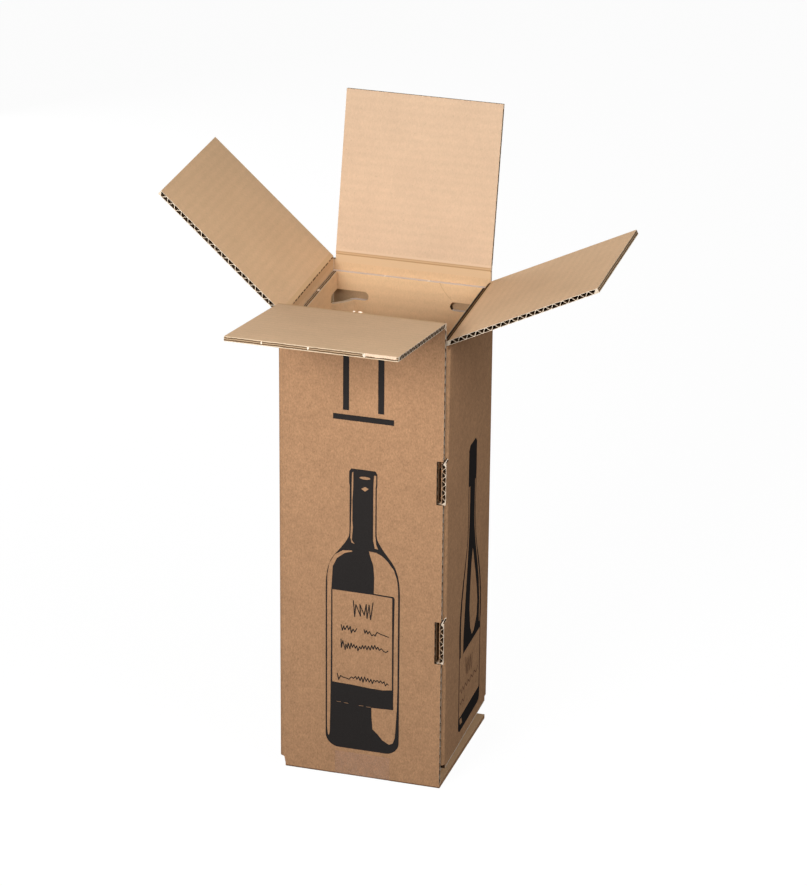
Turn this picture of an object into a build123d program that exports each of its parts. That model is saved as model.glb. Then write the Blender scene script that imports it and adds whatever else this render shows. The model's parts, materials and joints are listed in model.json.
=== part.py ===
from build123d import *
from math import atan2, cos, radians, sin
import os

os.makedirs("parts", exist_ok=True)

# Corrugated board and the clearances between neighbouring layers, in millimetres
board = 4.0
liner_paper = 0.35
layer_gap = 0.3
side_gap = 0.5
flute_pitch = 7.8
crest_width = 1.2
flute_wall = 0.35
pocket_depth = 12.0

# Outer carton
carton_width = 145.0
carton_depth = 146.0
front_fold_height = 426.5
right_fold_drop = 8.1
fold_radius = 4.5
floor_fold_radius = 2.0
front_edge_setback = 2.5
right_floor_height = 16.0
left_floor_height = 9.9

# Flaps and their resting angles in degrees
front_flap_length = 140.0
left_flap_length = 141.0
back_flap_inset = 6.0
front_flap_angle = 10.45
right_flap_angle = 26.25
left_flap_angle = 42.4
back_flap_angle = 77.3

# Bottom flaps
floor_end_gap = 11.0
floor_relief = 5.2
floor_flare = 3.6
floor_back_clear = 10.5
floor_side_relief = 8.0

# Lock tabs on the front right corner
notch_width = 5.6
notch_height = 39.5
upper_notch_floor = 266.5
lower_notch_floor = 119.0
tab_clear = 0.6

# Inner liner sheet
liner_top_drop = 0.8
slot_height = 8.0
slot_back_reach = 28.0
slot_side_reach = 17.5
top_slot_drop = 16.0
strip_height = 80.0
strip_crease_reach = 16.0
strip_push_depth = 9.5

# Tape over the bottom flaps
tape_width = 48.7
tape_offset = 1.6
tape_rise = 23.0
tape_thickness = 0.12
tape_ramp = 5.0

# Print, drawn as a still wine bottle and two upright arrows on the front, and a sparkling one on the side
ink = 0.12
bottle_height = 263.0
bottle_width = 65.0
bottle_floor = 26.8
bottle_offset = 1.4
side_bottle_height = 261.5
side_bottle_width = 68.4
side_bottle_floor = 27.5
side_bottle_offset = 11.3
print_line = 1.3
arrow_bar_length = 52.4
arrow_bar_height = 5.0
arrow_bar_floor = 333.0
arrow_shaft_width = 5.2
arrow_shaft_spacing = 30.1
arrow_shaft_gap = 4.0
arrow_shaft_height = 58.0
arrow_head_width = 18.0
arrow_head_height = 15.0

# Points of the drawings, as shares of half the bottle's width and of its height
neck_share = 0.36
lip_share = 0.375
base_corner_share = 0.045
shoulder_shares = (
    (1, 0.57), (0.985, 0.61), (0.85, 0.675), (0.59, 0.72), (0.41, 0.755), (neck_share, 0.8),
)
lip_shares = ((neck_share, 0.94), (lip_share, 0.95), (lip_share, 0.99), (0.32, 1), (0, 1))
left_light_shares = (
    (-0.29, 0.714), (-0.54, 0.711), (-0.76, 0.692), (-0.90, 0.660), (-0.955, 0.62), (-0.963, 0.56),
    (-0.963, 0.15), (-0.963, 0.07), (-0.94, 0.043), (-0.913, 0.037), (-0.888, 0.05), (-0.87, 0.15),
    (-0.865, 0.235), (-0.857, 0.36), (-0.85, 0.565), (-0.84, 0.582), (-0.81, 0.65), (-0.70, 0.68),
    (-0.49, 0.702), (-0.29, 0.71),
)
right_light_shares = (
    (0.16, 0.719), (0.36, 0.717), (0.51, 0.708), (0.66, 0.692), (0.83, 0.664), (0.915, 0.633),
    (0.95, 0.598), (0.955, 0.55), (0.955, 0.23), (0.94, 0.16), (0.915, 0.10), (0.89, 0.06),
    (0.84, 0.041), (0.74, 0.034), (0.55, 0.047), (0.43, 0.065), (0.285, 0.082), (0.255, 0.125),
    (0.25, 0.16), (0.845, 0.163), (0.845, 0.4), (0.86, 0.562), (0.83, 0.569), (0.30, 0.571),
    (0.305, 0.63), (0.28, 0.67), (0.2, 0.70),
)
label_shares = (
    (-0.82, 0.568), (0.30, 0.567), (0.795, 0.564), (0.795, 0.5), (0.80, 0.4), (0.805, 0.234),
    (0.54, 0.229), (0.2, 0.23), (-0.27, 0.234), (-0.82, 0.236),
)
left_neck_light_shares = (
    (-0.30, 0.985), (-0.265, 0.99), (-0.265, 0.94), (-0.285, 0.89), (-0.287, 0.82), (-0.27, 0.797),
    (-0.3, 0.751), (-0.22, 0.738), (-0.31, 0.742), (-0.34, 0.76), (-0.322, 0.82), (-0.31, 0.89),
    (-0.31, 0.94),
)
right_neck_light_shares = (
    (0.29, 0.985), (0.345, 0.985), (0.345, 0.958), (0.33, 0.942), (0.33, 0.775), (0.355, 0.745),
    (0.41, 0.729), (0.32, 0.731), (0.27, 0.758), (0.27, 0.93), (0.275, 0.96),
)
neck_gleam_shares = (
    (-0.05, 0.934), (0.045, 0.942), (0.145, 0.936), (0.1, 0.931), (0.045, 0.926), (-0.01, 0.93),
)
dash_shares = ((-0.70, 0.166), (-0.50, 0.1645), (-0.09, 0.162), (0.11, 0.161))
dash_length_share = 0.12
bore_shares = ((0.045, 0.972),)
bore_share = 0.072
side_half_shares = (
    (0.35, 0.82), (0.33, 0.76), (0.36, 0.69), (0.45, 0.635), (0.70, 0.552), (0.905, 0.47),
    (1, 0.39), (0.985, 0.30),
)
side_foil_shares = ((0.35, 0.86), (0.36, 0.865), (0.355, 0.985), (0.25, 1), (0, 1))
side_left_light_shares = (
    (-0.31, 0.855), (-0.31, 0.82), (-0.29, 0.76), (-0.32, 0.69), (-0.40, 0.635), (-0.61, 0.552),
    (-0.80, 0.47), (-0.88, 0.39), (-0.865, 0.30), (-0.86, 0.274), (-0.63, 0.274), (-0.62, 0.33),
    (-0.53, 0.42), (-0.41, 0.52), (-0.31, 0.60), (-0.235, 0.68), (-0.20, 0.76), (-0.20, 0.855),
)
side_right_light_shares = (
    (0.24, 0.855), (0.31, 0.855), (0.31, 0.82), (0.29, 0.76), (0.325, 0.69), (0.41, 0.635),
    (0.63, 0.552), (0.83, 0.47), (0.92, 0.39), (0.91, 0.30), (0.84, 0.30), (0.84, 0.39),
    (0.75, 0.47), (0.56, 0.552), (0.35, 0.635), (0.25, 0.69), (0.23, 0.76),
)
side_drop_shares = (
    (0.13, 0.617), (0.0, 0.55), (-0.07, 0.47), (-0.09, 0.40), (0.01, 0.33), (0.18, 0.295),
    (0.37, 0.30), (0.62, 0.34), (0.66, 0.39), (0.60, 0.44), (0.46, 0.50), (0.28, 0.565),
)
side_label_shares = ((-0.955, 0.274), (0.955, 0.274), (0.955, 0.052), (-0.955, 0.052))
side_gleam_shares = ((-0.88, 0.045), (-0.68, 0.043), (-0.63, 0.02), (-0.84, 0.024))

# Heights of the four top folds, so that the closed flaps lie on one another
layer_step = board + layer_gap
front_fold = front_fold_height
back_fold = front_fold - layer_step
left_fold = back_fold - layer_step
right_fold = left_fold - right_fold_drop
fold_relief = board / 2 + layer_gap
front_top = front_fold - fold_relief
back_top = back_fold - fold_relief
left_top = left_fold - fold_relief
right_top = right_fold - fold_relief
x_out = carton_width / 2
y_out = carton_depth / 2
x_in = x_out - board
y_in = y_out - board
inner_front = y_in - layer_gap
inner_front_face = inner_front - board
raw_edge = x_out - front_edge_setback
back_floor_height = layer_step
inner_front_floor = right_floor_height + board + layer_gap
notch_left = raw_edge - notch_width

# Flute cell shape, half width at its wide and narrow side
cell_wide = flute_pitch / 2 - crest_width / 2 - flute_wall
cell_narrow = crest_width / 2
cell_low = board / 2 - liner_paper
cell_high = board / 2 - liner_paper - flute_wall
half_pitch = flute_pitch / 2


def flute_ends(start, reach, mode):
    """Open ends of the flutes in a row from start to reach, each the other way up from the one before it."""
    for index in range(int((reach - start - 2 * cell_wide) / half_pitch) + 1):
        side = 1 - 2 * (index % 2)
        centre = start + cell_wide + index * half_pitch
        Polygon(
            (centre - cell_wide, -side * cell_low),
            (centre + cell_wide, -side * cell_low),
            (centre + cell_narrow, side * cell_high),
            (centre - cell_narrow, side * cell_high),
            align=None, mode=mode,
        )


# Clear tape that holds the bottom flaps, from the front face under the carton and up the back face
tape_front_y = -y_out - tape_thickness / 2
tape_back_y = y_out + tape_thickness / 2
tape_low_z = tape_thickness / 2
tape_high_z = back_floor_height - tape_thickness / 2
tape_bend = floor_fold_radius + tape_thickness / 2
tape_step_y = y_out - floor_end_gap
with BuildPart() as tape_band:
    with BuildSketch(Plane.YZ.offset(tape_offset - tape_width / 2)):
        with BuildLine():
            FilletPolyline(
                (tape_front_y, tape_rise),
                (tape_front_y, tape_low_z),
                (tape_step_y, tape_low_z),
                (tape_step_y + tape_ramp, tape_high_z),
                (tape_back_y, tape_high_z),
                (tape_back_y, back_floor_height + tape_rise),
                radius=[tape_bend, tape_ramp / 4, tape_ramp / 4, tape_bend],
            )
        trace(line_width=tape_thickness)
    extrude(amount=tape_width)
tape_band.part.label = "bottom_tape"
export_step(tape_band.part, "parts/bottom_tape.step")

# One folded sheet: front, left, back and right walls, the inner front panel and the bottom flaps
with BuildPart() as carton:
    # wound wall: right, back and left walls with the inner front panel
    with BuildSketch(Plane.XY.offset(left_floor_height)):
        with Locations((0, (y_out - inner_front) / 2)):
            RectangleRounded(carton_width, y_out + inner_front, fold_radius)
            RectangleRounded(
                carton_width - 2 * board, y_out + inner_front - 2 * board, fold_radius - board,
                mode=Mode.SUBTRACT,
            )
        with Locations((-x_in, -inner_front)):
            Rectangle(2 * side_gap, 2 * (board + side_gap))
    extrude(amount=back_top - left_floor_height)
    # free end of the inner front panel, held clear of the left wall
    with Locations((-x_in, -inner_front - layer_gap, 0)):
        Box(
            2 * side_gap, board + fold_radius, front_fold,
            align=(Align.MIN, Align.MIN, Align.MIN), mode=Mode.SUBTRACT,
        )
    # lower ends of the right wall, the inner front panel and the folds beside them
    with Locations((-x_in + side_gap, -y_in, 0)):
        Box(
            carton_width, board + 2 * layer_gap + side_gap, inner_front_floor,
            align=(Align.MIN, Align.MIN, Align.MIN), mode=Mode.SUBTRACT,
        )
    with Locations((x_in - side_gap, -y_out, 0)):
        Box(
            board * 2, carton_depth, right_floor_height,
            align=(Align.MIN, Align.MIN, Align.MIN), mode=Mode.SUBTRACT,
        )
    with Locations((x_in - board, y_in - board, 0)):
        Box(
            board * 3, board * 3, inner_front_floor,
            align=(Align.MIN, Align.MIN, Align.MIN), mode=Mode.SUBTRACT,
        )
    # upper ends of the right wall and the inner front panel
    with Locations((-x_in + side_gap, -y_in, right_top)):
        Box(
            carton_width, 2 * y_in, front_fold,
            align=(Align.MIN, Align.MIN, Align.MIN), mode=Mode.SUBTRACT,
        )
    with Locations((raw_edge, 0, right_top)):
        Box(board, y_out, front_fold, align=(Align.MIN, Align.MIN, Align.MIN), mode=Mode.SUBTRACT)
    # upper end of the left wall
    with Locations((-x_out, -y_in, left_top)):
        Box(
            back_flap_inset, carton_depth, front_fold,
            align=(Align.MIN, Align.MIN, Align.MIN), mode=Mode.SUBTRACT,
        )
    # back wall below the left wall's lower end, with a relief at each corner
    with Locations((-x_out + floor_relief, y_in, back_floor_height)):
        Box(
            carton_width - floor_relief - floor_side_relief, board, inner_front_floor,
            align=(Align.MIN, Align.MIN, Align.MIN),
        )
    # outer front wall down to the floor, with its raw right edge and its fold to the left wall
    with BuildSketch(Plane.XZ.offset(y_in)):
        Polygon(
            (-x_in, left_floor_height + layer_gap),
            (-x_out + floor_relief, board),
            (-x_out + floor_relief, 0),
            (raw_edge, 0),
            (raw_edge, front_top),
            (-x_in, front_top),
            align=None,
        )
    extrude(amount=board)
    with Locations((-x_out, -y_out, left_floor_height + layer_gap)):
        Box(
            board, board * 2, front_top - left_floor_height - layer_gap,
            align=(Align.MIN, Align.MIN, Align.MIN),
        )
    with Locations((-x_out, -y_in, left_top)):
        Box(board, board, front_fold, align=(Align.MIN, Align.MIN, Align.MIN), mode=Mode.SUBTRACT)
    # bottom flaps, the front one outermost and the right one innermost
    with BuildSketch():
        Polygon(
            (-x_out + floor_relief, -y_out),
            (raw_edge, -y_out),
            (raw_edge + floor_flare, y_out - floor_end_gap),
            (-x_out + floor_relief, y_out - floor_end_gap),
            align=None,
        )
    extrude(amount=board)
    with Locations((-x_out + floor_relief, y_out, back_floor_height)):
        Box(
            carton_width - floor_relief - floor_side_relief, carton_depth - floor_end_gap, board,
            align=(Align.MIN, Align.MAX, Align.MIN),
        )
    with Locations((-x_out, -y_in + side_gap * 2, left_floor_height)):
        Box(
            carton_width - floor_end_gap, 2 * y_in - 4 * side_gap, board,
            align=(Align.MIN, Align.MIN, Align.MIN),
        )
    with Locations((x_out, -inner_front_face + side_gap, right_floor_height)):
        Box(
            carton_width - floor_end_gap, y_in + inner_front_face - floor_back_clear, board,
            align=(Align.MAX, Align.MIN, Align.MIN),
        )
    # outer folds are rounded by the board's own bend
    front_left_fold = carton.edges().filter_by(Axis.Z).filter_by_position(Axis.X, -x_out, -x_out)
    fillet(front_left_fold.filter_by_position(Axis.Y, -y_out, -y_out), board - layer_gap)
    floor_folds = carton.edges().filter_by(Axis.X).filter_by_position(Axis.Z, 0, back_floor_height)
    fillet(floor_folds.filter_by_position(Axis.Y, -y_out, -y_out).sort_by(Axis.Z)[0], floor_fold_radius)
    fillet(floor_folds.filter_by_position(Axis.Y, y_out, y_out).sort_by(Axis.Z)[0], floor_fold_radius)
    # flute ends along the front wall's raw edge
    with BuildSketch(Plane(origin=(raw_edge, -y_out + board / 2, 0), x_dir=(0, 0, 1), z_dir=(-1, 0, 0))):
        flute_ends(board, front_top - liner_paper, Mode.ADD)
    extrude(amount=pocket_depth, mode=Mode.SUBTRACT)
    # lock tabs that stay in the right wall's plane, in the openings that they leave in both front layers
    tab_height = notch_height - 2 * tab_clear
    for notch_floor in (upper_notch_floor, lower_notch_floor):
        with Locations((notch_left, -y_out, notch_floor)):
            Box(
                x_in - notch_left, 2 * board + layer_gap, notch_height,
                align=(Align.MIN, Align.MIN, Align.MIN), mode=Mode.SUBTRACT,
            )
        with Locations((x_in, -y_out, notch_floor)):
            Box(
                board, board + layer_gap, notch_height,
                align=(Align.MIN, Align.MIN, Align.MIN), mode=Mode.SUBTRACT,
            )
        with Locations((x_in, -y_out, notch_floor + tab_clear)):
            Box(
                board, 2 * board + fold_radius, tab_height,
                align=(Align.MIN, Align.MIN, Align.MIN),
            )
        tab_origin = (x_out - board / 2, -y_out, notch_floor + tab_clear)
        with BuildSketch(Plane(origin=tab_origin, x_dir=(0, 0, 1), z_dir=(0, 1, 0))):
            flute_ends(flute_wall, tab_height - flute_wall, Mode.ADD)
        extrude(amount=pocket_depth, mode=Mode.SUBTRACT)
    # shallow bed that the tape lies in at the front bottom fold
    add(tape_band.part, mode=Mode.SUBTRACT)
carton.part.label = "carton"
export_step(carton.part, "parts/carton.step")

# Top flaps: each is a slab of board with open flute ends and a round root about its own fold
right_flap_length = x_out - board / 2 + x_in - side_gap
back_flap_length = y_out - board / 2 + y_in - side_gap
side_flap_width = 2 * (y_in - side_gap)
front_flap_width = raw_edge + x_out
back_flap_width = raw_edge + x_out - back_flap_inset

a = radians(right_flap_angle)
with BuildPart() as flap_right:
    with BuildSketch(
        Plane(
            origin=(x_out - board / 2, y_in - side_gap, right_fold),
            x_dir=(cos(a), 0, sin(a)), z_dir=(0, -1, 0),
        )
    ):
        Rectangle(right_flap_length, board, align=(Align.MIN, Align.CENTER))
        Circle(board / 2)
        flute_ends(board / 2, right_flap_length - liner_paper, Mode.SUBTRACT)
    extrude(amount=side_flap_width)
flap_right.part.label = "flap_right"
export_step(flap_right.part, "parts/flap_right.step")

a = radians(left_flap_angle)
with BuildPart() as flap_left:
    with BuildSketch(
        Plane(
            origin=(-x_out + board / 2, y_in - side_gap, left_fold),
            x_dir=(-cos(a), 0, sin(a)), z_dir=(0, -1, 0),
        )
    ):
        Rectangle(left_flap_length, board, align=(Align.MIN, Align.CENTER))
        Circle(board / 2)
        flute_ends(board / 2, left_flap_length - liner_paper, Mode.SUBTRACT)
    extrude(amount=side_flap_width)
flap_left.part.label = "flap_left"
export_step(flap_left.part, "parts/flap_left.step")

a = radians(front_flap_angle)
with BuildPart() as flap_front:
    with BuildSketch(
        Plane(origin=(-x_out, -y_out + board / 2, front_fold), x_dir=(0, -cos(a), sin(a)), z_dir=(1, 0, 0))
    ):
        Rectangle(front_flap_length, board, align=(Align.MIN, Align.CENTER))
        Circle(board / 2)
        flute_ends(board / 2, front_flap_length - liner_paper, Mode.SUBTRACT)
    extrude(amount=front_flap_width)
flap_front.part.label = "flap_front"
export_step(flap_front.part, "parts/flap_front.step")

a = radians(back_flap_angle)
with BuildPart() as flap_back:
    with BuildSketch(
        Plane(
            origin=(-x_out + back_flap_inset, y_out - board / 2, back_fold),
            x_dir=(0, cos(a), sin(a)), z_dir=(1, 0, 0),
        )
    ):
        Rectangle(back_flap_length, board, align=(Align.MIN, Align.CENTER))
        Circle(board / 2)
        flute_ends(board / 2, back_flap_length - liner_paper, Mode.SUBTRACT)
    extrude(amount=back_flap_width)
flap_back.part.label = "flap_back"
export_step(flap_back.part, "parts/flap_back.step")

# Inner liner: a second folded sheet that stands on the bottom flaps and lines all four walls
liner_floor = right_floor_height + board
liner_top = right_top - liner_top_drop
liner_x = x_in - side_gap
liner_y_back = y_in - side_gap
liner_y_front = inner_front_face - side_gap
liner_x_in = liner_x - board
liner_back_in = liner_y_back - board
liner_front_in = liner_y_front - board
liner_mid_y = (liner_y_back - liner_y_front) / 2
liner_deep = liner_y_back + liner_y_front
top_slot_middle = liner_top - top_slot_drop - slot_height / 2
strip_top = top_slot_middle - slot_height / 2
strip_floor = strip_top - strip_height
low_slot_middle = strip_floor - slot_height / 2
strip_turn = atan2(strip_crease_reach - strip_push_depth, strip_push_depth)
strip_skew = board * sin(strip_turn)
strip_rise = board * cos(strip_turn)
strip_back_push = strip_push_depth - board / (sin(strip_turn) + cos(strip_turn))
with BuildPart() as inner_liner:
    with BuildSketch(Plane.XY.offset(liner_floor)):
        with Locations((0, liner_mid_y)):
            Rectangle(2 * liner_x, liner_deep)
            Rectangle(2 * liner_x_in, liner_deep - 2 * board, mode=Mode.SUBTRACT)
    extrude(amount=liner_top - liner_floor)
    # two slots round each corner, cut through the front or back wall and then through the side wall
    for sign_x in (-1, 1):
        for sign_y, wall_in in ((-1, liner_front_in), (1, liner_back_in)):
            for slot_middle in (low_slot_middle, top_slot_middle):
                with BuildSketch(Plane.XZ.offset(-sign_y * wall_in)):
                    with Locations((sign_x * liner_x_in, slot_middle)):
                        SlotOverall(2 * slot_back_reach, slot_height)
                extrude(amount=-sign_y * board, mode=Mode.SUBTRACT)
                with BuildSketch(Plane.YZ.offset(sign_x * liner_x_in)):
                    with Locations((sign_y * wall_in, slot_middle)):
                        SlotOverall(2 * slot_side_reach, slot_height)
                extrude(amount=sign_x * board, mode=Mode.SUBTRACT)
    # the strip between the two slots at the back left corner is folded inwards
    with BuildSketch(Plane.XY.offset(strip_floor)):
        with Locations((-liner_x, liner_y_back)):
            Rectangle(strip_crease_reach + board, strip_crease_reach + board, align=(Align.MIN, Align.MAX))
    extrude(amount=strip_height, mode=Mode.SUBTRACT)
    with BuildSketch(Plane(origin=(-liner_x_in, liner_back_in, strip_floor))):
        Polygon(
            (0, -strip_crease_reach),
            (strip_push_depth, -strip_push_depth),
            (strip_crease_reach, 0),
            (strip_crease_reach, board),
            (strip_crease_reach - strip_rise, strip_skew),
            (strip_back_push, -strip_back_push),
            (-strip_skew, -strip_crease_reach + strip_rise),
            (-board, -strip_crease_reach),
            align=None,
        )
    extrude(amount=strip_height)
inner_liner.part.label = "inner_liner"
export_step(inner_liner.part, "parts/inner_liner.step")


def drawn(shares, width, height):
    """Points of a drawing, from shares of half its width and of its height."""
    return [(across * width / 2, up * height) for across, up in shares]


# Ink on the front wall: the still wine bottle and the two upright arrows over their bar
with BuildPart() as front_print:
    with BuildSketch(Plane(origin=(bottle_offset, -y_out, bottle_floor), x_dir=(1, 0, 0), z_dir=(0, -1, 0))):
        corner = base_corner_share * bottle_height
        with BuildLine():
            Line((0, 0), (bottle_width / 2 - corner, 0))
            TangentArc(
                (bottle_width / 2 - corner, 0), (bottle_width / 2, corner), tangent=(1, 0)
            )
            Line((bottle_width / 2, corner), drawn(shoulder_shares, bottle_width, bottle_height)[0])
            Spline(*drawn(shoulder_shares, bottle_width, bottle_height), tangents=((0, 1), (0, 1)))
            Polyline(*drawn((shoulder_shares[-1],) + lip_shares, bottle_width, bottle_height))
            mirror(about=Plane.YZ)
        make_face()
        for light_shares in (
            left_light_shares, right_light_shares, label_shares,
            left_neck_light_shares, right_neck_light_shares, neck_gleam_shares,
        ):
            Polygon(*drawn(light_shares, bottle_width, bottle_height), align=None, mode=Mode.SUBTRACT)
        with Locations(*drawn(bore_shares, bottle_width, bottle_height)):
            Ellipse(bore_share * bottle_width, print_line, mode=Mode.SUBTRACT)
        with Locations(*drawn(dash_shares, bottle_width, bottle_height)):
            Rectangle(
                dash_length_share * bottle_width / 2, print_line / 3,
                align=(Align.MIN, Align.CENTER), mode=Mode.SUBTRACT,
            )
    extrude(amount=ink)
    with BuildSketch(
        Plane(origin=(bottle_offset, -y_out, arrow_bar_floor), x_dir=(1, 0, 0), z_dir=(0, -1, 0))
    ):
        Rectangle(arrow_bar_length, arrow_bar_height, align=(Align.CENTER, Align.MIN))
        for sign_x in (-1, 1):
            shaft_x = sign_x * arrow_shaft_spacing / 2
            shaft_floor = arrow_bar_height + arrow_shaft_gap
            with Locations((shaft_x, shaft_floor)):
                Rectangle(arrow_shaft_width, arrow_shaft_height, align=(Align.CENTER, Align.MIN))
            Polygon(
                (shaft_x - arrow_head_width / 2, shaft_floor + arrow_shaft_height),
                (shaft_x + arrow_head_width / 2, shaft_floor + arrow_shaft_height),
                (shaft_x, shaft_floor + arrow_shaft_height + arrow_head_height),
                align=None,
            )
    extrude(amount=ink)
front_print.part.label = "front_print"
export_step(front_print.part, "parts/front_print.step")

# Ink on the right wall: the sparkling wine bottle with its foil, drop of light and plain label
with BuildPart() as side_print:
    with BuildSketch(
        Plane(origin=(x_out, side_bottle_offset, side_bottle_floor), x_dir=(0, 1, 0), z_dir=(1, 0, 0))
    ):
        corner = base_corner_share * side_bottle_height / 2
        with BuildLine():
            Line((0, 0), (side_bottle_width / 2 - corner, 0))
            TangentArc((side_bottle_width / 2 - corner, 0), (side_bottle_width / 2, corner), tangent=(1, 0))
            Line(
                (side_bottle_width / 2, corner),
                drawn(side_half_shares, side_bottle_width, side_bottle_height)[-1],
            )
            Spline(*drawn(side_half_shares, side_bottle_width, side_bottle_height))
            Polyline(*drawn((side_half_shares[0],) + side_foil_shares, side_bottle_width, side_bottle_height))
            mirror(about=Plane.YZ)
        make_face()
        for light_shares in (
            side_left_light_shares, side_right_light_shares, side_drop_shares,
            side_label_shares, side_gleam_shares,
        ):
            Polygon(
                *drawn(light_shares, side_bottle_width, side_bottle_height),
                align=None, mode=Mode.SUBTRACT,
            )
    extrude(amount=ink)
side_print.part.label = "side_print"
export_step(side_print.part, "parts/side_print.step")
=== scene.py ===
import json
import math

import bpy
import numpy as np
from mathutils import Matrix, Vector


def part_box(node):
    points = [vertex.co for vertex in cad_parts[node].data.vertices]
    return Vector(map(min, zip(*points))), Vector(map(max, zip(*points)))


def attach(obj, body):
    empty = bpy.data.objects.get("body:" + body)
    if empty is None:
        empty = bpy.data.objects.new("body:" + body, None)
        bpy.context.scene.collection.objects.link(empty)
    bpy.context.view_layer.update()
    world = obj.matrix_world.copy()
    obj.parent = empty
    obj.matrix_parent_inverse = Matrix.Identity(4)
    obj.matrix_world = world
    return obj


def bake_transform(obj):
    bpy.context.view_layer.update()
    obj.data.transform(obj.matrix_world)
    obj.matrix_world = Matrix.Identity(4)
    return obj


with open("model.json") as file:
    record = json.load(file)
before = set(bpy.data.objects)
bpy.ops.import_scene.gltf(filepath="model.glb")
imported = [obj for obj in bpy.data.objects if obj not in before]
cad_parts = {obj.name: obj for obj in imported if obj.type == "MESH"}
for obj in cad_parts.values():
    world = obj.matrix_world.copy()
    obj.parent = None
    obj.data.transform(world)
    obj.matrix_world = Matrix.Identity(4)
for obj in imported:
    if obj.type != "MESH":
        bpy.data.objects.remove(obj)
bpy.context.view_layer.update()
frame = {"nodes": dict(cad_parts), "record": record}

# Carton
# One sheet of single wall C flute board, die cut, printed and folded by hand into a tall square box. Its
# outside paper is brown test liner, the inside one a paler kraft. The flutes run level round the box, so the
# paper shows faint level ripples, and every cut edge shows the wave between its two papers.
FLUTE_PITCH = 0.0078
BOARD = 0.004
BROWN_KRAFT = "b78d6a"
BROWN_GRAIN = {"grain": 0.2, "ripple": 0.006}
CLOUDS_PER_METRE = 28.0
BLOTCHES_PER_METRE = 200.0
FIBRES_PER_METRE = 440.0
FIBRE_SQUEEZE = (1.8, 1.8, 1.0)
SPECKS_PER_METRE = 480.0
NOISE_LOW, NOISE_HIGH = 0.3, 0.7
CLOUDING = 0.03
SPECKS_FROM, SPECKS_TO, SPECK_DEPTH = 0.66, 0.74, 1.6
# How much light the painted shade behind the sleeve leaves.
PAINTED_SHADE_FACTOR = 0.75
NOWHERE = (-9.0, -8.0)
RIDGE_SHARE = 0.12
MIX_FIRST, MIX_SECOND, MIX_RESULT = 6, 7, 2


def linear(code):
    """A colour as Blender takes it: each sRGB channel undone by the standard curve."""
    srgb = np.array([int(code[i : i + 2], 16) for i in (0, 2, 4)]) / 255
    low, high = srgb / 12.92, ((srgb + 0.055) / 1.055) ** 2.4
    return (*np.where(srgb <= 0.04045, low, high), 1.0)


def add_node(tree, kind, inputs=(), **settings):
    """Adds a node and sets what is named in settings on it or on its inputs. Each pair in inputs is an
    input and what goes into it: the output of another node, or a plain value."""
    node = tree.nodes.new(kind)
    for name, value in settings.items():
        if hasattr(node, name):
            setattr(node, name, value)
        else:
            node.inputs[name.replace("_", " ")].default_value = value
    for socket, source in inputs:
        if isinstance(source, bpy.types.NodeSocket):
            tree.links.new(source, node.inputs[socket])
        else:
            node.inputs[socket].default_value = source
    return node


def new_material(name):
    """An empty material with its node tree and output node."""
    material = bpy.data.materials.new(name)
    material.use_nodes = True
    tree = material.node_tree
    tree.nodes.clear()
    return material, tree, add_node(tree, "ShaderNodeOutputMaterial")


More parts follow.
